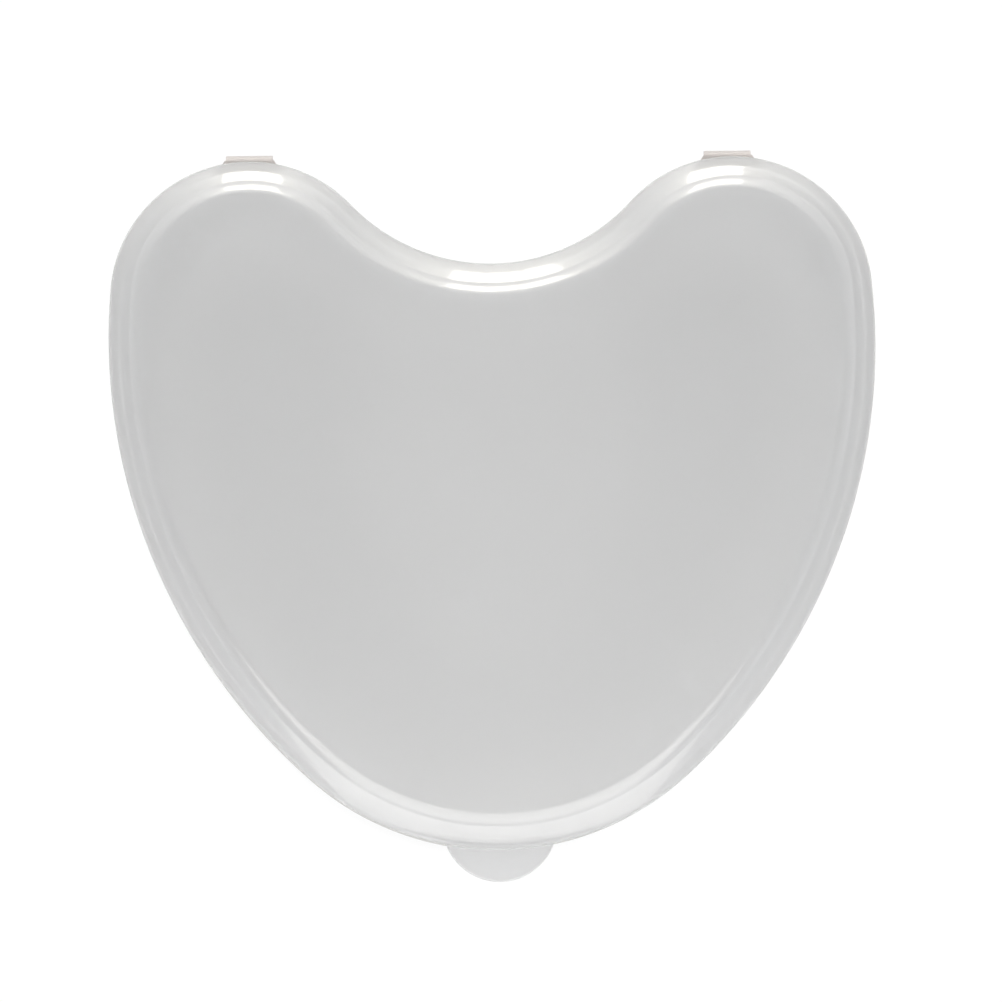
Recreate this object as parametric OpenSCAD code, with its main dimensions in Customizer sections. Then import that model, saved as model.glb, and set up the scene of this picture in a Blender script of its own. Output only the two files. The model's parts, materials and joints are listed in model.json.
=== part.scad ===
// Heart-shaped snap case for a mouthguard, closed, with the mouthguard lying in its tray.
//
// The case is a polypropylene moulding: a tray, a lid and two thin living hinges at the
// rear of the lobes. The lid swings open about the hinges, and a thumb tab at the point
// lifts it. The mouthguard is a loose U-shaped moulding that lifts out of the tray.
//
// Frame: +Z up, X across the width, the point and the thumb tab towards -Y, the hinges
// towards +Y. The origin is at the middle of the underside of the whole object.

/* [Outline] */
// Overall width of the case
case_w = 78; // [76:0.5:82]
// Radius of the two lobes
lobe_r = 14.15; // [14:0.05:15.2]
// Radius of the long curved sides
side_r = 60; // [57:0.5:61]
// Angle at which a lobe runs into its side curve
side_turn = 5.2; // [4:0.2:8]
// Radius of the rounded point
point_r = 28.5; // [27:0.5:29]
// Radius of the dip between the lobes
notch_r = 19.4; // [18:0.2:21]

/* [Tray] */
// Height of the flange that the lid comes down on
tray_h = 17.7; // [16.5:0.1:20]
// Wall thickness of the tray and the lid
wall = 1.2; // [1:0.1:1.3]
// How far the floor's flat lies inside the outline
floor_inset = 6.3; // [6.2:0.1:6.8]
// Radius where the floor turns up into the wall
floor_r = 2.4; // [2:0.1:2.6]
// How far the top of the tray's wall lies inside the outline
wall_inset = 2.6; // [2.5:0.05:2.7]
// Height of the lip that stands up inside the lid's skirt
lip_h = 2.7; // [2.3:0.1:3]

/* [Lid] */
// Height of the closed case
case_h = 25; // [24.6:0.1:25.6]
// Radius of the round edge where the lid's skirt turns over into its rim band
edge_r = 0.9; // [0.7:0.1:1.1]
// Radius of the rim band's gentle crown
band_r = 7.6; // [7:0.1:8.2]
// Height of the step from the rim band up to the raised panel
step_h = 0.4; // [0.3:0.05:0.7]
// Rise of the panel's middle above its edge
crown = 0.4; // [0.1:0.1:0.5]
// How far the thumb tab stands out from the point
tab_out = 3.2; // [2.5:0.1:4.5]
// Width of the thumb tab where it leaves the rim
tab_w = 10.4; // [9:0.1:13]

/* [Hinges] */
// Width of each hinge land where it leaves the case
land_w = 7; // [6:0.1:8]
// How far the hinge lands stand out from the lobes
land_out = 0.9; // [0.5:0.05:1]
// Thickness of the living hinge's film
film_t = 0.35; // [0.25:0.05:0.4]

/* [Mouthguard] */
// Width of the mouthguard across its molar ends
guard_w = 58; // [54:0.5:59]
// Length of the mouthguard from its front to its molar ends
guard_l = 51; // [46:0.5:52]
// Height of the mouthguard at its front
guard_h = 14; // [12:0.5:15]
// Thickness of the plate that the teeth bite on
bite_t = 3.2; // [2.5:0.1:4]

/* [Hidden] */
$fn = 64;

// Outline: a chain of tangent arcs. An inset changes each radius and keeps its centre.
lobe_x = case_w / 2 - side_r + (side_r - lobe_r) * cos(side_turn);
side_dy = -(side_r - lobe_r) * sin(side_turn);
side_x = case_w / 2 - side_r;
point_dy = side_dy - sqrt(pow(side_r - point_r, 2) - pow(side_x, 2));
notch_dy = sqrt(pow(notch_r + lobe_r, 2) - pow(lobe_x, 2));
film_gap = 0.2;
film_r = film_gap + film_t;
land_t = 0.7;
land_root = 0.8;
land_taper = 1;
hinge_out = land_out + film_r;
front_dy = point_dy - point_r - tab_out;
rear_dy = lobe_r + hinge_out;
lobe_y = -(front_dy + rear_dy) / 2;

lobe_c = [lobe_x, lobe_y];
side_c = [side_x, lobe_y + side_dy];
point_c = [0, lobe_y + point_dy];
notch_c = [0, lobe_y + notch_dy];
// The middle that the floor and the panel are drawn towards.
hub = [0, lobe_y - 20];

point_turn = atan2(point_c.y - side_c.y, point_c.x - side_c.x);
notch_turn = atan2(notch_c.y - lobe_c.y, notch_c.x - lobe_c.x);
point_steps = 8;
side_steps = 12;
lobe_steps = 18;
notch_steps = 8;

// Heights
closing_gap = 0.1;
skirt_z = tray_h + closing_gap;
panel_z = case_h - crown;
rim_z = panel_z - step_h;
lip_z = tray_h + lip_h;
basin_z = tray_h - 1.1;
hinge_z = tray_h + closing_gap / 2;
floor_t = wall + 0.1;
flange_z = tray_h - 0.9;

// Insets of the closing faces, from the widest outline inwards
flange_inset = 0.3;
lip_inset = 1.6;
lip_t = 1.1;
skirt_t = wall;
edge = 0.15;

// Snap: a bead on the tray's lip, and under it a ridge in the lid's skirt, both at the point.
bead_h = 0.15;
bead_half = 0.4;
bead_z = tray_h + 1.55;
bead_span = 64;
ridge_h = 0.1;
ridge_half = 0.3;
ridge_z = skirt_z + 0.5;
ridge_span = 40;
rib_root = 0.3;

// Rim band: the edge turns up from the skirt to edge_turn, and the band on to band_turn.
edge_turn = 58;
band_turn = 76;
shoulder_z = rim_z - edge_r * sin(edge_turn) - band_r * (sin(band_turn) - sin(edge_turn));
band_inset = edge_r + (band_r - edge_r) * cos(edge_turn);
band_z = shoulder_z - (band_r - edge_r) * sin(edge_turn);
panel_inset = band_inset - band_r * cos(band_turn);
under_r = band_r - skirt_t;
under_inset = band_inset - under_r * cos(band_turn);
under_z = band_z + under_r * sin(band_turn);

// Panel: the step as [share of its run, share of its height], then rings drawn towards the
// hub as [shrink, share of the crown].
step_run = 1.2;
step_line = [[0, 0], [0.25, 0.45], [0.6, 0.85], [1, 1]];
dome_inset = 5;
dome = [[1, 0], [0.7, 0.7], [0.35, 1]];

// Mouthguard
front_half = 5.2;
molar_half = 6.4;
outer_wall_t = 2.4;
inner_wall_t = 2;
arm_l = 8;
guard_gap = 2.5;
rest_gap = 0.05;
arch_step = 7.5;
arch_a = guard_w / 2 - molar_half;
arch_b = guard_l - arm_l - front_half;
guard_front = point_c.y - point_r + floor_inset + wall / 2 + guard_gap;
arch_y = guard_front + front_half + arch_b;
guard_z = floor_t + rest_gap;
channel_z = guard_z + bite_t;
guard_top = guard_z + guard_h;
inner_drop = 3.5;
molar_drop = 3;
pad_t = 1.2;

// ---- Outline ----

function arc(centre, r, from, to, steps) = [
    for (i = [0:steps - 1])
        let (a = from + (to - from) * i / steps) centre + r * [cos(a), sin(a)]
];

// The right half of the outline, from the point round to the dip, inset millimetres in.
function half_heart(inset) = concat(
    arc(point_c, point_r - inset, -90, point_turn, point_steps),
    arc(side_c, side_r - inset, point_turn, side_turn, side_steps),
    arc(lobe_c, lobe_r - inset, side_turn, notch_turn, lobe_steps),
    arc(notch_c, notch_r + inset, notch_turn - 180, -90, notch_steps),
    [notch_c - [0, notch_r + inset]]
);

function heart(inset) =
    let (half = half_heart(inset))
    concat(half, [for (i = [len(half) - 2:-1:1]) [-half[i].x, half[i].y]]);

// One level of a shell: [inset, z], or [inset, z, shrink] to draw the ring towards the hub.
function level(ring) =
    let (shrink = len(ring) > 2 ? ring[2] : 1)
    [for (p = heart(ring[0])) let (q = hub + shrink * (p - hub)) [q.x, q.y, ring[1]]];

// Two triangles for each step of the outline between two rings.
function band(lower, upper, n) = [
    for (k = [0:n - 1])
        let (next = (k + 1) % n)
        each [
            [lower * n + k, upper * n + k, upper * n + next],
            [lower * n + k, upper * n + next, lower * n + next]
        ]
];

// A shell through the rings in order, closed over the hub at its first and last ring.
module shell(rings) {
    n = len(heart(0));
    last = len(rings) - 1;
    points = concat(
        [for (r = rings) each level(r)],
        [[hub.x, hub.y, rings[0][1]], [hub.x, hub.y, rings[last][1]]]
    );
    first_hub = n * len(rings);
    faces = concat(
        [for (i = [0:last - 1]) each band(i, i + 1, n)],
        [for (k = [0:n - 1]) [first_hub, k, (k + 1) % n]],
        [for (k = [0:n - 1]) [first_hub + 1, last * n + (k + 1) % n, last * n + k]]
    );
    polyhedron(points = points, faces = faces, convexity = 6);
}

// A hoop of constant section round the outline: the rings go up outside and down inside.
module hoop(rings) {
    n = len(heart(0));
    m = len(rings);
    polyhedron(
        points = [for (r = rings) each level(r)],
        faces = [for (i = [0:m - 1]) each band(i, (i + 1) % m, n)],
        convexity = 6
    );
}

// Rings of a quarter-round edge, from sideways (0) to upwards (90).
function round_up(inset, z, r, angles) = [for (a = angles) [inset - r * cos(a), z + r * sin(a)]];

// Rings of a floor's rounded edge, from flat (0) to its wall.
function round_floor(inset, z, r, angles) = [for (a = angles) [inset - r * sin(a), z + r * (1 - cos(a))]];

module mirrored(side) {
    if (side < 0) mirror([1, 0, 0]) children();
    else children();
}

// ---- Tray ----

module tray_basin() {
    turn = [0, 28, 56, 84];
    inner_r = floor_r - 0.8;
    inner_inset = floor_inset + wall / 3;
    color("gainsboro")
    shell(concat(
        round_floor(floor_inset, 0, floor_r, turn),
        [[wall_inset, basin_z], [wall_inset + wall, basin_z]],
        round_floor(inner_inset, floor_t, inner_r, [84, 56, 28, 0])
    ));
}

module tray_rim() {
    lip_in = lip_inset + lip_t;
    lip_foot = tray_h + 0.3;
    color("whitesmoke")
    hoop([
        [wall_inset, basin_z], [wall_inset - 0.3, flange_z],
        [flange_inset + edge, flange_z], [flange_inset, flange_z + edge],
        [flange_inset, tray_h - edge], [flange_inset + edge, tray_h],
        [lip_inset, tray_h], [lip_inset, lip_z - edge], [lip_inset + edge, lip_z],
        [lip_in - edge, lip_z], [lip_in, lip_z - edge], [lip_in, lip_foot],
        [wall_inset + wall, basin_z],
    ]);
}

// A rounded rib along the curve of the point. It stands out from radius r, or inwards where
// its stand is negative, and its root is buried in the wall behind it.
module point_rib(r, z, half, stand, span) {
    root = r - sign(stand) * rib_root;
    crest = half * 0.3;
    translate([point_c.x, point_c.y, z])
    rotate([0, 0, -90 - span / 2])
    rotate_extrude(angle = span)
    polygon([[root, -half], [r, -half], [r + stand, -crest], [r + stand, crest], [r, half], [root, half]]);
}

module tray_snap_bead() {
    color("white") point_rib(point_r - lip_inset, bead_z, bead_half, bead_h, bead_span);
}

// ---- Lid ----

module lid_rim() {
    inner_turn = 61;
    corner = 0.4;
    color("white")
    hoop(concat(
        [[edge, skirt_z], [0, skirt_z + edge]],
        round_up(edge_r, shoulder_z, edge_r, [0:edge_turn / 4:edge_turn]),
        round_up(band_inset, band_z, band_r, [edge_turn + 6:6:band_turn]),
        round_up(band_inset, band_z, under_r, [band_turn:-5:inner_turn]),
        [[skirt_t, shoulder_z - corner], [skirt_t, skirt_z + edge], [skirt_t - edge, skirt_z]]
    ));
}

module lid_panel() {
    under = panel_z - skirt_t;
    cove = 0.9;
    cove_h = 0.15;
    color("aliceblue")
    shell(concat(
        [for (i = [len(dome) - 1:-1:0]) [dome_inset, under + crown * dome[i][1], dome[i][0]]],
        [[under_inset + cove, under], [under_inset + 0.4 * cove, under - cove_h], [under_inset, under_z]],
        [for (s = step_line) [panel_inset + step_run * s[0], rim_z + step_h * s[1]]],
        [for (d = dome) [dome_inset, panel_z + crown * d[1], d[0]]]
    ));
}

module lid_catch_ridge() {
    color("white") point_rib(point_r - skirt_t, ridge_z, ridge_half, -ridge_h, ridge_span);
}

module lid_thumb_tab() {
    tab_t = 1.2;
    // The tab is a segment of a circle with this radius.
    tab_r = (pow(tab_w / 2, 2) + pow(tab_out, 2)) / (2 * tab_out);
    buried = 0.6;
    color("gainsboro")
    translate([0, 0, skirt_z + 0.05])
    difference() {
        translate([0, point_c.y - point_r - tab_out + tab_r, 0]) cylinder(h = tab_t, r = tab_r);
        translate([point_c.x, point_c.y, -1]) cylinder(h = tab_t + 2, r = point_r - buried, $fn = 180);
    }
}

// ---- Hinges ----

// A tapered land that carries the hinge film, from inside the rim out to the film.
module hinge_land(side, z) {
    root = land_w / 2;
    end = root - land_taper;
    color("lightgray")
    mirrored(side)
    translate([lobe_c.x, lobe_c.y + lobe_r, z])
    linear_extrude(land_t)
    polygon([[-root, -land_root], [root, -land_root], [end, land_out], [-end, land_out]]);
}

module tray_hinge_land(side) {
    hinge_land(side, hinge_z - film_gap - land_t);
}

module lid_hinge_land(side) {
    hinge_land(side, hinge_z + film_gap);
}

// The film folds round behind the parting line, from the tray's land to the lid's.
module hinge_film(side) {
    film_w = land_w - 2 * land_taper - 0.2;
    color("silver")
    mirrored(side)
    translate([lobe_c.x - film_w / 2, lobe_c.y + lobe_r + land_out, hinge_z])
    rotate([90, 0, 90])
    linear_extrude(film_w)
    difference() {
        circle(r = film_r);
        circle(r = film_gap);
        translate([-2 * film_r, -2 * film_r]) square([2 * film_r, 4 * film_r]);
    }
}

// ---- Mouthguard ----

// One station of the arch's middle line: [middle point, outward direction, half width].
function station(t) =
    let (out = [arch_b * sin(t), -arch_a * cos(t)])
    [
        [arch_a * sin(t), arch_y - arch_b * cos(t)],
        out / norm(out),
        front_half + (molar_half - front_half) * pow(sin(t), 2)
    ];

// Stations from one molar end round the front to the other; reach is the straight part's length.
function stations(from, to, reach) = concat(
    from == -90 ? [[[-arch_a, arch_y + reach], [-1, 0], molar_half]] : [],
    [for (t = [from:arch_step:to]) station(t)],
    to == 90 ? [[[arch_a, arch_y + reach], [1, 0], molar_half]] : []
);

// A strip along the arch. Its edges lie out and in from the middle line, measured inwards
// from the guard's outer edge (side 1) or inner edge (side -1).
function edge_line(line, side, inward) = [for (s = line) s[0] + side * (s[2] - inward) * s[1]];

module strip(line, outer, inner) {
    polygon(concat(outer, [for (i = [len(inner) - 1:-1:0]) inner[i]]));
}

module guard_bite_plate() {
    line = stations(-90, 90, arm_l - molar_half);
    color("aliceblue")
    translate([0, 0, guard_z])
    linear_extrude(bite_t)
    union() {
        strip(line, edge_line(line, 1, 0), edge_line(line, -1, 0));
        for (side = [-1, 1])
            translate([side * arch_a, arch_y + arm_l - molar_half]) circle(r = molar_half);
    }
}

// A wall that stands on the bite plate and drops towards its molar ends.
module guard_wall(line, outer, inner, top) {
    length = 2 * guard_l;
    slope = atan2(molar_drop, guard_l);
    difference() {
        translate([0, 0, channel_z])
        linear_extrude(top - channel_z)
        strip(line, outer, inner);
        translate([-guard_w, guard_front, top])
        rotate([-slope, 0, 0])
        cube([2 * guard_w, length, guard_h]);
    }
}

module guard_outer_wall() {
    line = stations(-90, 90, arm_l - molar_half);
    color("aliceblue")
    guard_wall(line, edge_line(line, 1, 0), edge_line(line, 1, outer_wall_t), guard_top);
}

module guard_inner_wall() {
    line = stations(-90, 90, arm_l - molar_half);
    color("aliceblue")
    guard_wall(line, edge_line(line, -1, inner_wall_t), edge_line(line, -1, 0), guard_top - inner_drop);
}

module guard_molar_pad(side) {
    line = stations(45, 90, 0);
    clear = 0.6;
    color("azure")
    mirrored(side)
    translate([0, 0, channel_z])
    linear_extrude(pad_t)
    strip(line, edge_line(line, 1, outer_wall_t + clear), edge_line(line, -1, inner_wall_t + clear));
}

tray_basin();
tray_rim();
tray_snap_bead();
tray_hinge_land(-1);  // tray_hinge_land_left
tray_hinge_land(1);  // tray_hinge_land_right
hinge_film(-1);  // hinge_film_left
hinge_film(1);  // hinge_film_right
lid_rim();
lid_panel();
lid_catch_ridge();
lid_thumb_tab();
lid_hinge_land(-1);  // lid_hinge_land_left
lid_hinge_land(1);  // lid_hinge_land_right
guard_bite_plate();
guard_outer_wall();
guard_inner_wall();
guard_molar_pad(-1);  // guard_molar_pad_left
guard_molar_pad(1);  // guard_molar_pad_right
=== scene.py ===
"""Heart-shaped frosted snap case with a clear mouthguard inside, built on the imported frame."""
import json
import math

import bmesh
import bpy
from mathutils import Matrix, Vector


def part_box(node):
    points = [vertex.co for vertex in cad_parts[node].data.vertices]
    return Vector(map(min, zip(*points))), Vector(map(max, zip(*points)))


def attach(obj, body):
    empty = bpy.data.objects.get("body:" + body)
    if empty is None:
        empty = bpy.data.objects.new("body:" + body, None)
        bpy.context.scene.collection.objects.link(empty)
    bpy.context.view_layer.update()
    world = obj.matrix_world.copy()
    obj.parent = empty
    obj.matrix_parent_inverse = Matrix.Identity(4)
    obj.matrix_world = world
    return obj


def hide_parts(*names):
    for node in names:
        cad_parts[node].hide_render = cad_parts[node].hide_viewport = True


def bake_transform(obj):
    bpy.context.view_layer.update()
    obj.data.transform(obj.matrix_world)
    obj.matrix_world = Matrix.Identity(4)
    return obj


MM = 0.001

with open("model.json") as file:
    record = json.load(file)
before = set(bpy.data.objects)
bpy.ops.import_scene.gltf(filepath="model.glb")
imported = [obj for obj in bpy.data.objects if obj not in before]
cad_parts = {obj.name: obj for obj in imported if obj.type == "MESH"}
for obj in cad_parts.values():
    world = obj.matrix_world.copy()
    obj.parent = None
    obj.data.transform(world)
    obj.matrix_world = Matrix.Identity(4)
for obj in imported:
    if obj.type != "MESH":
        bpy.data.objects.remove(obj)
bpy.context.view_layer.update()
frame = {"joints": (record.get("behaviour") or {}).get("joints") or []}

# ---- Places taken from the frame, in millimetres ----


def box_mm(node):
    lo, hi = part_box(node)
    return [c / MM for c in lo], [c / MM for c in hi]


def middle_z(node):
    lo, hi = box_mm(node)
    return (lo[2] + hi[2]) / 2


rim_lo, rim_hi = box_mm("lid_rim")
panel_top = box_mm("lid_panel")[1][2]
tray_lo, tray_hi = box_mm("tray_rim")
tab_lo, tab_hi = box_mm("lid_thumb_tab")
film_lo, film_hi = box_mm("hinge_film_right")
plate_lo, plate_hi = box_mm("guard_bite_plate")
outer_wall_top = box_mm("guard_outer_wall")[1][2]
inner_wall_top = box_mm("guard_inner_wall")[1][2]
molar_pad_back = box_mm("guard_molar_pad_right")[1][1]
hinge = next(j for j in frame["joints"] if j["name"] == "lid_hinge")
hinge_y, hinge_z = hinge["pos_m"][1] / MM, hinge["pos_m"][2] / MM

# ---- Camera: almost straight above, from a little in front of the point ----

LENS = 158.8
CAMERA_DISTANCE = 450
CAMERA_TILT_X, CAMERA_TILT_Y, CAMERA_ROLL = (math.radians(a) for a in (-1.7, 6.0, 0.95))
AIM = Vector((0, -0.1, 20))
AIM_SHIFT = Vector((0.6, 1.25, 0))


def facing(eye, target):
    """A matrix in metres at eye whose -Z points at the target and whose +Y leans towards world +Y."""
    back = (eye - target).normalized()
    right = Vector((0, 1, 0)).cross(back).normalized()
    turn = Matrix((right, back.cross(right), back)).transposed().to_4x4()
    return Matrix.Translation(eye * MM) @ turn


camera_data = bpy.data.cameras.new("camera")
camera_data.lens = LENS
camera_data.sensor_width = 36
camera_data.clip_start = 0.01
camera_data.clip_end = 50
camera = bpy.data.objects.new("camera", camera_data)
bpy.context.scene.collection.objects.link(camera)
toward = Vector((math.sin(CAMERA_TILT_X), -math.sin(CAMERA_TILT_Y), 0))
toward.z = math.sqrt(1 - toward.length_squared)
camera.matrix_world = (
    facing(AIM + CAMERA_DISTANCE * toward, AIM)
    @ Matrix.Rotation(-CAMERA_ROLL, 4, "Z")
    @ Matrix.Translation(AIM_SHIFT * MM)
)
bpy.context.scene.camera = camera

# ---- Outline: a chain of tangent arcs, the same as the CAD part's ----

LOBE_R, SIDE_R, POINT_R, NOTCH_R = 14.15, 60.0, 28.5, 19.4
SIDE_TURN = math.radians(5.2)
half_w = rim_hi[0]
lobe_c = Vector((half_w - SIDE_R + (SIDE_R - LOBE_R) * math.cos(SIDE_TURN), rim_hi[1] - LOBE_R))
side_c = Vector((half_w - SIDE_R, lobe_c.y - (SIDE_R - LOBE_R) * math.sin(SIDE_TURN)))
point_c = Vector((0, side_c.y - math.sqrt((SIDE_R - POINT_R) ** 2 - side_c.x ** 2)))
notch_c = Vector((0, lobe_c.y + math.sqrt((NOTCH_R + LOBE_R) ** 2 - lobe_c.x ** 2)))
# The middle that the floor and the panel are drawn towards.
hub = Vector((0, lobe_c.y - 20))
point_turn = math.atan2(point_c.y - side_c.y, point_c.x - side_c.x)
notch_turn = math.atan2(notch_c.y - lobe_c.y, notch_c.x - lobe_c.x)


def arc(centre, r, a0, a1, steps):
    out = []
    for i in range(steps):
        a = a0 + (a1 - a0) * i / steps
        out.append(centre + r * Vector((math.cos(a), math.sin(a))))
    return out


def heart(inset):
    """The outline, inset millimetres in, as one closed ring."""
    half = arc(point_c, POINT_R - inset, -math.pi / 2, point_turn, 26)
    half += arc(side_c, SIDE_R - inset, point_turn, SIDE_TURN, 34)
    half += arc(lobe_c, LOBE_R - inset, SIDE_TURN, notch_turn, 46)
    half += arc(notch_c, NOTCH_R + inset, notch_turn - math.pi, -math.pi / 2, 24)
    half.append(notch_c - Vector((0, NOTCH_R + inset)))
    return half + [Vector((-p.x, p.y)) for p in half[-2:0:-1]]


# ---- Mesh helpers ----


def add_object(name, mesh):
    obj = bpy.data.objects.new(name, mesh)
    bpy.context.scene.collection.objects.link(obj)
    return obj


SHARP = math.radians(50)
SUPPORT = 0.12


def smooth_mesh(name, points, faces):
    """A smooth mesh object from points in millimetres, with its normals outwards."""
    mesh = bpy.data.meshes.new(name)
    mesh.from_pydata([Vector(p) * MM for p in points], [], faces)
    bm = bmesh.new()
    bm.from_mesh(mesh)
    bmesh.ops.remove_doubles(bm, verts=bm.verts, dist=1e-7)
    bmesh.ops.recalc_face_normals(bm, faces=bm.faces)
    for face in bm.faces:
        face.smooth = True
    for edge in bm.edges:
        edge.smooth = edge.calc_face_angle(0) < SHARP
    bm.to_mesh(mesh)
    bm.free()
    return add_object(name, mesh)


def fillet(corners, steps=5, support=SUPPORT, even=False):
    """A line through (x, z, radius) corners, each rounded and held by a point on either side.

    Even corners have the same number of points whatever their angle.
    """
    out = [corners[0][:2]]
    for before, corner, after in zip(corners, corners[1:], corners[2:]):
        p = Vector(corner[:2])
        a, b = Vector(before[:2]) - p, Vector(after[:2]) - p
        angle = a.angle(b)
        r = corner[2]
        reach = r / math.tan(angle / 2)
        a.normalize()
        b.normalize()
        centre = p + (a + b).normalized() * (r / math.sin(angle / 2))
        first, last = p + a * reach, p + b * reach
        out.append(tuple(first + a * support))
        v0, v1 = first - centre, last - centre
        turn = v0.angle_signed(v1)
        count = steps if even else max(2, round(steps * abs(turn) / (math.pi / 2)))
        for i in range(count + 1):
            t = -turn * i / count
            c, s = math.cos(t), math.sin(t)
            out.append((centre.x + c * v0.x - s * v0.y, centre.y + s * v0.x + c * v0.y))
        out.append(tuple(last + b * support))
    out.append(corners[-1][:2])
    return out


def level(p):
    return 0.0


def shell(name, section, rise=level):
    """A closed solid through rings (inset, z) or (inset, z, shrink), from one hub point to another.

    A shrunken ring is drawn in towards the hub, and rise lifts it.
    """
    points, faces, n = [], [], len(heart(0))
    for ring in section:
        shrink, lift = (ring[2], rise) if len(ring) > 2 else (1, level)
        for p in heart(ring[0]):
            q = hub + shrink * (p - hub)
            points.append((q.x, q.y, ring[1] + lift(q)))
    last = len(section) - 1
    for i in range(last):
        for k in range(n):
            m = (k + 1) % n
            faces.append((i * n + k, i * n + m, (i + 1) * n + m, (i + 1) * n + k))
    for ring, flip in ((0, False), (last, True)):
        centre = len(points)
        points.append((hub.x, hub.y, section[ring][1] + rise(hub)))
        for k in range(n):
            pair = (ring * n + k, ring * n + (k + 1) % n)
            faces.append((centre, *(pair[::-1] if flip else pair)))
    return smooth_mesh(name, points, faces)


def spread(a, b, steps):
    """steps + 1 even values from a to b."""
    return [a + (b - a) * i / steps for i in range(steps + 1)]


# ---- Lid: skirt, edge, crowned band, step and raised panel as one moulding ----

WALL = 1.2
EDGE_R, BAND_R = 0.9, 7.6
EDGE_TURN, BAND_TURN = math.radians(58), math.radians(76)
STEP_TURN, COVE_R = math.radians(36), 0.8
STEP_X = 2.1
DOME_INSET, CROWN = 5.0, 0.4
CROWN_X, CROWN_Y, CROWN_MIDDLE = 26, 22, 5.9
FLAT_INSET = 4.6
UNDER_TURN = math.radians(66)
skirt_z, rim_z = rim_lo[2], rim_hi[2]
panel_z = panel_top - CROWN
band_rise = BAND_R * (math.sin(BAND_TURN) - math.sin(EDGE_TURN))
shoulder_z = rim_z - EDGE_R * math.sin(EDGE_TURN) - band_rise
band_x = EDGE_R + (BAND_R - EDGE_R) * math.cos(EDGE_TURN)
band_z = shoulder_z - (BAND_R - EDGE_R) * math.sin(EDGE_TURN)


def on_arc(x, z, r, a):
    return (x - r * math.cos(a), z + r * math.sin(a))


def crown(p):
    """The panel's slight dome, over an oval inside it."""
    y = p.y - hub.y + CROWN_MIDDLE
    return CROWN * max(0.0, 1 - (p.x / CROWN_X) ** 2 - (y / CROWN_Y) ** 2) ** 2


def dome(inset, z):
    return [(inset, z, shrink) for shrink in [0.03] + spread(0.1, 1, 18)]


def step_up(r, end_z, cove_r):
    """From the band of radius r up a hollow and a long round edge to a flat, as (inset, z)."""
    a = math.acos((band_x - STEP_X) / r)
    x, z = on_arc(band_x, band_z, r, a)
    tilt = math.pi / 2 - a
    out = [on_arc(band_x, band_z, r, a - math.radians(0.8)), (x, z)]
    for t in spread(tilt, STEP_TURN, 6)[1:]:
        across, up = math.sin(t) - math.sin(tilt), math.cos(tilt) - math.cos(t)
        out.append((x + cove_r * across, z + cove_r * up))
    x, z = out[-1]
    top_r = (end_z - z) / (1 - math.cos(STEP_TURN))
    x += top_r * math.sin(STEP_TURN)
    for t in spread(STEP_TURN, 0, 14)[1:]:
        out.append((x - top_r * math.sin(t), end_z - top_r * (1 - math.cos(t))))
    return out


top_step = step_up(BAND_R, panel_z, COVE_R)
under_r = BAND_R - WALL
under_step = step_up(under_r, panel_z - WALL, 2 * COVE_R)
top_turn = math.acos((band_x - STEP_X) / BAND_R)

lid_section = dome(DOME_INSET, panel_z)
lid_section += [(x, panel_z) for x in (FLAT_INSET, top_step[-1][0] + SUPPORT)]
lid_section += top_step[::-1]
lid_section += [on_arc(band_x, band_z, BAND_R, a) for a in spread(top_turn, EDGE_TURN, 10)[1:]]
lid_section += [on_arc(EDGE_R, shoulder_z, EDGE_R, a) for a in spread(EDGE_TURN, 0, 12)[1:]]
lid_section += fillet(
    [
        (0, shoulder_z - 0.15), (0, skirt_z, 0.22), (WALL, skirt_z, 0.22),
        (WALL, shoulder_z - 0.1, 0.5), on_arc(band_x, band_z, under_r, UNDER_TURN),
    ],
    steps=4,
)
for turn in (1.2, 2.4):
    lid_section.append(on_arc(band_x, band_z, under_r, UNDER_TURN + math.radians(turn)))
lid_section += under_step
lid_section += [(x, panel_z - WALL) for x in (under_step[-1][0] + SUPPORT, FLAT_INSET)]
lid_section += dome(DOME_INSET, panel_z - WALL)[::-1]
lid = shell("lid_shell", lid_section, crown)

# ---- Tray: flat floor, drafted wall, flange and closing lip as one moulding ----

FLOOR_R, FLOOR_T, FLOOR_INSET = 2.4, 1.3, 8
WALL_TOP_X, WALL_FOOT_X = 2.6, 4.108
INNER_TOP_X, INNER_TOP_Z, INNER_FOOT_X, INNER_FOOT_R = 3.8, 16.2, 5.244, 1.6
LIP_X, LIP_T, LIP_R = 1.6, 1.1, 0.3
flange_lo, flange_hi = tray_lo[2] + 0.2, skirt_z - 0.1
flange_x = half_w - tray_hi[0]
lip_z = tray_hi[2]


def flat(inset, z, shrinks):
    return [(inset, z, s) for s in shrinks]


SHRINKS = (0.05, 0.3, 0.6, 0.9, 1)
tray_section = flat(FLOOR_INSET, 0, SHRINKS)
tray_section += fillet(
    [
        (FLOOR_INSET - 0.5, 0), (WALL_FOOT_X, 0, FLOOR_R), (WALL_TOP_X, flange_lo, 0.4),
        (flange_x, flange_lo, 0.22), (flange_x, flange_hi, 0.2), (LIP_X, flange_hi, 0.12),
        (LIP_X, lip_z, LIP_R), (LIP_X + LIP_T, lip_z, LIP_R), (LIP_X + LIP_T, flange_hi + 0.1, 1.0),
        (INNER_TOP_X, INNER_TOP_Z, 1.0), (INNER_FOOT_X, FLOOR_T, INNER_FOOT_R), (FLOOR_INSET - 0.4, FLOOR_T),
    ],
    steps=7,
)
tray_section += flat(FLOOR_INSET, FLOOR_T, SHRINKS[::-1])
tray = shell("tray_shell", tray_section)

# ---- Snap rib: the bead on the tray's lip and the ridge in the lid's skirt ----


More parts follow.
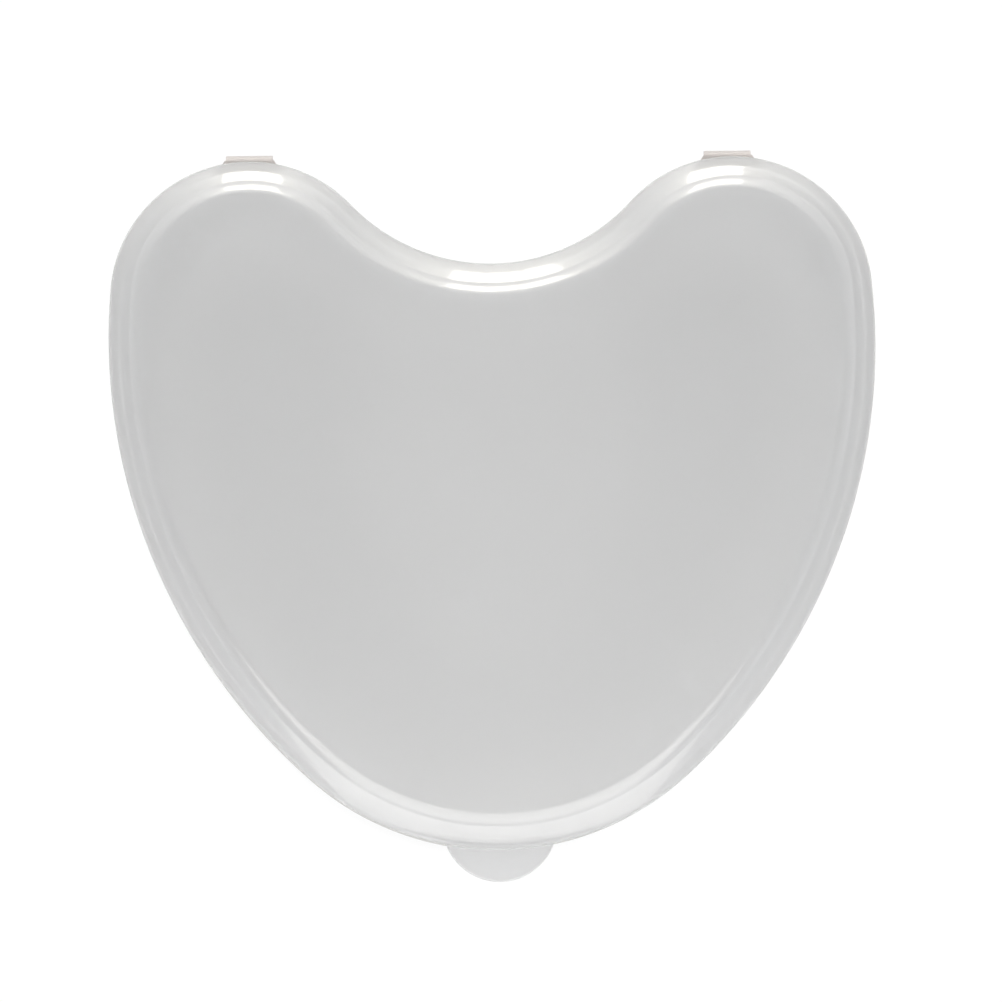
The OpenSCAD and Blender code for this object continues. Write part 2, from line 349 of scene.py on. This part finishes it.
def point_rib(name, r, z, half, stand, span):
    """A rounded rib over span degrees of the curve of the point, faded out at both ends.

    It stands out from radius r, or in from it where stand is negative, and is 2 * half high.
    """
    points, faces = [], []
    steps, around = 48, 8
    for i in range(steps + 1):
        u = 2 * i / steps - 1
        fade = max(0.03, 1 - u ** 6)
        a = math.radians(-90 + u * span / 2)
        for k in range(around + 1):
            b = math.pi * k / around - math.pi / 2
            reach = r + stand * fade * math.cos(b)
            rise = half * (0.4 + 0.6 * fade) * math.sin(b)
            points.append((point_c.x + reach * math.cos(a), point_c.y + reach * math.sin(a), z + rise))
        back = r - math.copysign(0.3, stand)
        for rise in (half, -half):
            points.append((point_c.x + back * math.cos(a), point_c.y + back * math.sin(a), z + rise))
    m = around + 3
    for i in range(steps):
        for k in range(m):
            n = (k + 1) % m
            faces.append((i * m + k, i * m + n, (i + 1) * m + n, (i + 1) * m + k))
    faces.append(tuple(range(m)))
    faces.append(tuple(range(steps * m, (steps + 1) * m))[::-1])
    return smooth_mesh(name, points, faces)


bead = point_rib("snap_bead", POINT_R - LIP_X, middle_z("tray_snap_bead"), 0.4, 0.15, 64)
ridge = point_rib("catch_ridge", POINT_R - WALL, middle_z("lid_catch_ridge"), 0.3, -0.1, 40)

# ---- Flat plates with rounded edges: thumb tab and hinge lands ----


def plate(name, outline, z0, z1, edge):
    """A plate from a closed outline in millimetres, its edges rounded by a bevel."""
    mesh = bpy.data.meshes.new(name)
    bm = bmesh.new()
    ring = [bm.verts.new((p[0] * MM, p[1] * MM, z0 * MM)) for p in outline]
    bottom = bm.faces.new(ring)
    top = bmesh.ops.extrude_face_region(bm, geom=[bottom])
    verts = [v for v in top["geom"] if isinstance(v, bmesh.types.BMVert)]
    bmesh.ops.translate(bm, verts=verts, vec=(0, 0, (z1 - z0) * MM))
    bmesh.ops.recalc_face_normals(bm, faces=bm.faces)
    for face in bm.faces:
        face.smooth = True
    bm.to_mesh(mesh)
    bm.free()
    obj = add_object(name, mesh)
    bevel = obj.modifiers.new("round", "BEVEL")
    bevel.width = edge * MM
    bevel.segments = 4
    bevel.limit_method = "ANGLE"
    bevel.angle_limit = math.radians(40)
    bevel.harden_normals = True
    return obj


TAB_HALF = 5.2
BURIED = 0.25
ROOT = POINT_R - BURIED
tab_out = rim_lo[1] - tab_lo[1]
tab_r = (TAB_HALF ** 2 + tab_out ** 2) / (2 * tab_out)
tab_mid_y = tab_lo[1] + tab_r
# The tab's circle meets the rim's circle where their chord crosses.
gap_y = point_c.y - tab_mid_y
chord = (tab_r ** 2 - ROOT ** 2 + gap_y ** 2) / (2 * gap_y)
chord_x = math.sqrt(tab_r ** 2 - chord ** 2)
chord_y = tab_mid_y + chord
tab_a = math.atan2(chord_y - tab_mid_y, chord_x)
root_a = math.atan2(chord_y - point_c.y, chord_x)
tab_outline = []
for a in spread(math.pi - tab_a, 2 * math.pi + tab_a, 44):
    tab_outline.append((tab_r * math.cos(a), tab_mid_y + tab_r * math.sin(a)))
for a in spread(root_a, -math.pi - root_a, 20)[1:-1]:
    tab_outline.append((ROOT * math.cos(a), point_c.y + ROOT * math.sin(a)))
thumb_tab = plate("thumb_tab", tab_outline, tab_lo[2], tab_hi[2], 0.25)

LAND_W, LAND_TAPER, SET_IN = 7.0, 1.0, 0.3
land_end_y = film_lo[1]


def land(name, side, node):
    """A tapered plate from inside the rim out to the film."""
    lo, hi = box_mm(node)
    x = side * lobe_c.x
    root_y = lobe_c.y + math.sqrt((LOBE_R - BURIED) ** 2 - (LAND_W / 2) ** 2)
    outline = [(x - LAND_W / 2, root_y), (x + LAND_W / 2, root_y)]
    outline += [(x + s * (LAND_W / 2 - LAND_TAPER), land_end_y) for s in (1, -1)]
    return plate(name, outline, lo[2], hi[2], 0.12)


def film(name, side):
    """The film folded round behind the parting line, thin at its middle, set into both lands."""
    x0 = side * lobe_c.x
    half = (film_hi[0] - film_lo[0]) / 2
    inner, outer = 0.2, film_hi[1] - land_end_y
    points, faces = [], []
    turns = spread(-math.pi / 2, math.pi / 2, 20)
    path = [(SET_IN, turns[0])] + [(0, a) for a in turns] + [(SET_IN, turns[-1])]
    for inward, a in path:
        for r in (inner, outer):
            y, z = land_end_y - inward + r * math.cos(a), hinge_z + r * math.sin(a)
            for s in (-1, 1):
                points.append((x0 + s * half, y, z))
    for i in range(len(path) - 1):
        a, b = 4 * i, 4 * (i + 1)
        for j, k in ((0, 1), (1, 3), (3, 2), (2, 0)):
            faces.append((a + j, a + k, b + k, b + j))
    faces.append((0, 1, 3, 2))
    end = 4 * (len(path) - 1)
    faces.append((end, end + 2, end + 3, end + 1))
    return smooth_mesh(name, points, faces)


SIDES = (("left", -1), ("right", 1))
lands, films = {}, {}
for word, side in SIDES:
    lands[word] = (
        land("tray_land_" + word, side, "tray_hinge_land_" + word),
        land("lid_land_" + word, side, "lid_hinge_land_" + word),
    )
    films[word] = film("film_" + word, side)

# ---- Mouthguard: one smooth U-shaped moulding ----

FRONT_HALF, MOLAR_HALF = 5.2, 6.4
GUARD_DROP, WAVE = 3.0, 0.25
arch_a = plate_hi[0] - MOLAR_HALF
arch_y = molar_pad_back
arch_b = arch_y - plate_lo[1] - FRONT_HALF
arm = plate_hi[1] - MOLAR_HALF - arch_y


def guard_station(t):
    """Middle point, outward direction and half width of the arch; t runs from -1 to 1."""
    if abs(t) <= 1:
        a = t * math.pi / 2
        out = Vector((arch_b * math.sin(a), -arch_a * math.cos(a)))
        half = FRONT_HALF + (MOLAR_HALF - FRONT_HALF) * math.sin(a) ** 2
        return Vector((arch_a * math.sin(a), arch_y - arch_b * math.cos(a))), out.normalized(), half
    side = math.copysign(1, t)
    return Vector((side * arch_a, arch_y + arm * (abs(t) - 1))), Vector((side, 0)), MOLAR_HALF


def guard_section(half, outer_z, inner_z, close):
    """The moulding's section as (outward, z); close runs from 0 to 1 over the round molar end."""
    z0, z1 = plate_lo[2], plate_hi[2]
    keep = 1 - close
    outer_z = z1 + (outer_z - z1) * keep
    inner_z = z1 + (inner_z - z1) * keep
    width = math.sqrt(max(0.0, 1 - close * close))
    line = fillet(
        [
            (0, z0), (half - 0.3, z0, 1.1), (half, outer_z, 0.9), (half - 1.9, outer_z, 0.9),
            (half - 2.6, z1 - 0.05, 1.3 * keep + 0.1), (2.4 - half, z1 - 0.05, 1.3 * keep + 0.1),
            (1.7 - half, inner_z, 0.75), (-half, inner_z, 0.75), (0.4 - half, z0, 1.1), (0, z0),
        ],
        steps=5,
        support=0.1,
        even=True,
    )
    return [(x * width, z) for x, z in line[:-1]]


def guard_rows():
    """Places along the arch and how far each is closed, from one molar end to the other."""
    caps = [math.sin(a) for a in spread(0, math.radians(84), 7)][1:]
    arms = spread(1, 2, 5)[1:]
    places = [-t for t in arms[::-1]] + spread(-1, 1, 60) + arms
    return [(-2, c) for c in caps[::-1]] + [(t, 0) for t in places] + [(2, c) for c in caps]


def guard_mesh():
    """The mouthguard, its walls lower towards the molars and its outer edge gently wavy."""
    points, faces = [], []
    rows = guard_rows()
    for t, close in rows:
        mid, out, half = guard_station(t)
        mid = mid + Vector((0, MOLAR_HALF * close))
        fall = GUARD_DROP * max(0.0, mid.y - plate_lo[1]) / (plate_hi[1] - plate_lo[1])
        wave = WAVE * math.cos(6 * math.pi * t) * max(0.0, 1 - abs(t))
        outer_z = outer_wall_top - 0.1 - WAVE - fall + wave
        inner_z = inner_wall_top - 0.1 - fall
        for u, z in guard_section(half, outer_z, inner_z, close):
            p = mid + out * u
            points.append((p.x, p.y, z))
    count, m = len(rows), len(points) // len(rows)
    for i in range(count - 1):
        for k in range(m):
            n = (k + 1) % m
            faces.append((i * m + k, i * m + n, (i + 1) * m + n, (i + 1) * m + k))
    faces.append(tuple(range(m))[::-1])
    faces.append(tuple(range((count - 1) * m, count * m)))
    return smooth_mesh("mouthguard", points, faces)


guard = guard_mesh()

# ---- Materials ----


def new_material(name):
    mat = bpy.data.materials.new(name)
    mat.use_nodes = True
    tree = mat.node_tree
    return mat, tree, tree.nodes["Principled BSDF"]


def add_node(tree, kind, inputs=(), **settings):
    node = tree.nodes.new(kind)
    for key, value in settings.items():
        setattr(node, key, value)
    for key, value in dict(inputs).items():
        if hasattr(value, "links"):
            tree.links.new(value, node.inputs[key])
        else:
            node.inputs[key].default_value = value
    return node


# The Mix node has one set of sockets for each data type; these are the colour ones.
COLOR_A, COLOR_B, COLOR_OUT = 6, 7, 2


def noise(tree, coords, scale, detail=3.0, roughness=0.5):
    inputs = {"Vector": coords, "Scale": scale, "Detail": detail, "Roughness": roughness}
    return add_node(tree, "ShaderNodeTexNoise", inputs).outputs["Fac"]


def to_range(tree, value, lo, hi):
    """The middle of a noise's values spread over lo to hi."""
    inputs = {"Value": value, "From Min": 0.3, "From Max": 0.7, "To Min": lo, "To Max": hi}
    return add_node(tree, "ShaderNodeMapRange", inputs).outputs["Result"]


def frosted_polypropylene():
    """Natural polypropylene: hazy inside, semi-gloss outside, with a fine moulded texture."""
    mat, tree, bsdf = new_material("frosted_polypropylene")
    coords = add_node(tree, "ShaderNodeTexCoord").outputs["Object"]
    cloud = noise(tree, coords, 45.0)
    grain = noise(tree, coords, 2600.0, 2.0)
    wave = noise(tree, coords, 150.0, 1.0)
    # The folded hinges are matt and a little greyer than the rest.
    worn = add_node(tree, "ShaderNodeAttribute", attribute_name="worn").outputs["Fac"]
    for name, kind, clean, matt in (
        ("Base Color", "RGBA", (0.948, 0.953, 0.968, 1), (0.86, 0.815, 0.81, 1)),
        ("Transmission Weight", "FLOAT", 0.74, 0.5),
        ("Coat Weight", "FLOAT", 1.0, 0.2),
        ("Roughness", "FLOAT", to_range(tree, cloud, 0.285, 0.325), 0.5),
    ):
        first, second, out = ("A", "B", 0) if kind == "FLOAT" else (COLOR_A, COLOR_B, COLOR_OUT)
        mix = add_node(tree, "ShaderNodeMix", {"Factor": worn, first: clean, second: matt}, data_type=kind)
        tree.links.new(mix.outputs[out], bsdf.inputs[name])
    bsdf.inputs["IOR"].default_value = 1.49
    bsdf.inputs["Coat Roughness"].default_value = 0.045
    bsdf.inputs["Coat IOR"].default_value = 1.5
    low = add_node(tree, "ShaderNodeBump", {"Height": wave, "Strength": 0.05, "Distance": 0.0004})
    fine = add_node(tree, "ShaderNodeBump", {"Height": grain, "Strength": 0.08, "Distance": 0.00004})
    tree.links.new(low.outputs[0], fine.inputs["Normal"])
    tree.links.new(fine.outputs[0], bsdf.inputs["Normal"])
    tree.links.new(low.outputs[0], bsdf.inputs["Coat Normal"])
    return mat


def clear_eva():
    """Clear, slightly uneven soft plastic."""
    mat, tree, bsdf = new_material("clear_eva")
    coords = add_node(tree, "ShaderNodeTexCoord").outputs["Object"]
    wave = noise(tree, coords, 220.0, 2.0)
    bsdf.inputs["Base Color"].default_value = (0.97, 0.98, 0.99, 1)
    bsdf.inputs["Transmission Weight"].default_value = 1.0
    bsdf.inputs["Alpha"].default_value = 0.4
    bsdf.inputs["IOR"].default_value = 1.3
    tree.links.new(to_range(tree, wave, 0.06, 0.14), bsdf.inputs["Roughness"])
    bump = add_node(tree, "ShaderNodeBump", {"Height": wave, "Strength": 0.15, "Distance": 0.0004})
    tree.links.new(bump.outputs[0], bsdf.inputs["Normal"])
    return mat


pp = frosted_polypropylene()
eva = clear_eva()

# ---- Bodies ----


def wear(obj):
    """Marks every point of a mesh as worn."""
    worn = obj.data.attributes.new("worn", "FLOAT", "POINT")
    worn.data.foreach_set("value", [1.0] * len(worn.data))


def finish_piece(obj, body, slot, mat, *nodes):
    """Gives a piece its material and its body and hides the CAD nodes that it stands for; slot is not used.
    """
    obj.data.materials.clear()
    obj.data.materials.append(mat)
    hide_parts(*nodes)
    if body:
        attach(obj, body)


PP_SLOT, EVA_SLOT = "frosted_polypropylene", "clear_eva"
finish_piece(lid, "lid", PP_SLOT, pp, "lid_rim", "lid_panel")
finish_piece(ridge, "lid", PP_SLOT, pp, "lid_catch_ridge")
finish_piece(thumb_tab, "lid", PP_SLOT, pp, "lid_thumb_tab")
finish_piece(tray, "tray", PP_SLOT, pp, "tray_basin", "tray_rim")
finish_piece(bead, "tray", PP_SLOT, pp, "tray_snap_bead")
for word, side in SIDES:
    finish_piece(lands[word][0], "tray", PP_SLOT, pp, "tray_hinge_land_" + word)
    finish_piece(lands[word][1], "lid", PP_SLOT, pp, "lid_hinge_land_" + word)
    finish_piece(films[word], None, PP_SLOT, pp, "hinge_film_" + word)
    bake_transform(films[word])
    for obj in (*lands[word], films[word]):
        wear(obj)
finish_piece(
    guard, "mouthguard", EVA_SLOT, eva, "guard_bite_plate", "guard_outer_wall", "guard_inner_wall",
    "guard_molar_pad_left", "guard_molar_pad_right",
)

# ---- Floor, world and lights ----


def occlusion(tree, distance, samples, lo, hi):
    """A value from lo, where something stands close over the point, to hi in the open."""
    near = add_node(tree, "ShaderNodeAmbientOcclusion", {"Distance": distance * MM}, samples=samples)
    inputs = {"Value": near.outputs["AO"], "To Min": lo, "To Max": hi}
    return add_node(tree, "ShaderNodeMapRange", inputs).outputs["Result"]


def mix_shaders(tree, factor, first, second):
    return add_node(tree, "ShaderNodeMixShader", {0: factor, 1: first.outputs[0], 2: second.outputs[0]})


def make_floor():
    """A white floor that glows to the camera, with a painted soft contact shade; seen through the case it
    glows too, dimmer under the case as a painted shadow.
    """
    mesh = bpy.data.meshes.new("floor")
    bm = bmesh.new()
    bmesh.ops.create_grid(bm, x_segments=1, y_segments=1, size=6)
    bm.to_mesh(mesh)
    bm.free()
    floor = add_object("floor", mesh)
    floor.location.z = -0.05 * MM
    mat, tree, bsdf = new_material("floor_white")
    bsdf.inputs["Base Color"].default_value = (0.75, 0.75, 0.75, 1)
    bsdf.inputs["Roughness"].default_value = 0.9
    bsdf.inputs["Specular IOR Level"].default_value = 0.0
    # Painted shade: the glow that the camera sees is dimmed where something stands within 5 mm over the
    # floor.
    white = add_node(tree, "ShaderNodeEmission", {"Strength": occlusion(tree, 5, 8, 0.45, 1.02)})
    # Painted light and shadow: seen through the case the floor is a warm glow, dimmed under the case by
    # occlusion within 25 mm.
    through = add_node(tree, "ShaderNodeEmission", {"Color": (1, 0.995, 0.975, 1)})
    tree.links.new(occlusion(tree, 25, 4, 0.21, 0.95), through.inputs["Strength"])
    path = add_node(tree, "ShaderNodeLightPath").outputs
    inner = mix_shaders(tree, path["Is Diffuse Ray"], through, bsdf)
    both = mix_shaders(tree, path["Is Camera Ray"], inner, white)
    tree.links.new(both.outputs[0], tree.nodes["Material Output"].inputs["Surface"])
    mesh.materials.append(mat)


WARM, COOL, WHITE = (1.0, 0.985, 0.96, 1), (0.91, 0.945, 1.0, 1), (1, 1, 1, 1)
WINDOW_TINT = (1, 0.975, 0.92, 1)
WINDOW_WAY = Vector((0, math.cos(math.radians(35)), math.sin(math.radians(35))))


def make_world(zenith, side, ahead, glow):
    """A soft surround, brighter low down and in front, with a broad glow round the window."""
    world = bpy.data.worlds.new("studio")
    bpy.context.scene.world = world
    world.use_nodes = True
    tree = world.node_tree
    coords = add_node(tree, "ShaderNodeTexCoord").outputs["Generated"]
    axes = add_node(tree, "ShaderNodeSeparateXYZ", {"Vector": coords}).outputs

    def maths(operation, a, b):
        return add_node(tree, "ShaderNodeMath", {0: a, 1: b}, operation=operation).outputs[0]

    def mix_colors(factor, first, second):
        inputs = {"Factor": factor, COLOR_A: first, COLOR_B: second}
        return add_node(tree, "ShaderNodeMix", inputs, data_type="RGBA").outputs[COLOR_OUT]

    high = maths("MAXIMUM", axes["Z"], 0.0)
    low = maths("POWER", maths("SUBTRACT", 1.0, high), 2.0)
    front = maths("MULTIPLY", maths("MAXIMUM", maths("MULTIPLY", axes["Y"], -1.0), 0.0), ahead)
    towards = add_node(tree, "ShaderNodeVectorMath", {0: coords, 1: WINDOW_WAY}, operation="DOT_PRODUCT")
    window = maths("POWER", maths("MAXIMUM", towards.outputs["Value"], 0.0), 6.0)
    level = maths("ADD", maths("MULTIPLY", low, maths("ADD", front, side)), zenith)
    level = maths("ADD", level, maths("MULTIPLY", window, glow))
    background = tree.nodes["Background"]
    seen = add_node(tree, "ShaderNodeLightPath").outputs["Is Camera Ray"]
    sky = mix_colors(high, WARM, COOL)
    sky = mix_colors(window, sky, WINDOW_TINT)
    tree.links.new(mix_colors(seen, sky, WHITE), background.inputs["Color"])
    strength = add_node(tree, "ShaderNodeMix", {"Factor": seen, "A": level, "B": 1.02})
    tree.links.new(strength.outputs["Result"], background.inputs["Strength"])


def area_light(name, azimuth, elevation, distance, width, height, radiance, tint):
    """A rectangular light, in metres, that faces the case; azimuth 0 is straight behind it."""
    az, el = math.radians(azimuth), math.radians(elevation)
    direction = Vector((math.sin(az) * math.cos(el), math.cos(az) * math.cos(el), math.sin(el)))
    data = bpy.data.lights.new(name, "AREA")
    data.shape = "RECTANGLE"
    data.size, data.size_y = width, height
    data.energy = radiance * math.pi * width * height
    data.color = tint
    light = add_object(name, data)
    light.visible_camera = False
    target = Vector((0, 0, 20)) * MM
    right = Vector((0, 0, 1)).cross(direction).normalized()
    turn = Matrix((right, direction.cross(right), direction)).transposed().to_4x4()
    light.matrix_world = Matrix.Translation(target + direction * distance) @ turn


def add_ceiling(centre, radius, radiance, tint):
    """A round light flat above the case, in millimetres."""
    data = bpy.data.lights.new("ceiling", "AREA")
    data.shape = "DISK"
    data.size = 2 * radius * MM
    data.energy = radiance * math.pi * math.pi * (radius * MM) ** 2
    data.color = tint
    light = add_object("ceiling", data)
    light.visible_camera = False
    light.location = centre * MM


make_floor()
add_ceiling(Vector((5, 18.7, 135)), 46, 0.34, (1, 0.99, 0.97))
make_world(0.21, 1.0, 0.8, 1.75)
for i in (-1, 0, 1):
    area_light(f"window_{i + 1}", 7.6 * i - 0.7, 42, 6, 0.58, 2.9, 7.4, (1, 0.97, 0.86))
area_light("front_soft", 180, 50, 0.15, 0.2, 0.138, 2.15, (1, 0.985, 0.95))

scene = bpy.context.scene
scene.view_settings.view_transform = "Standard"
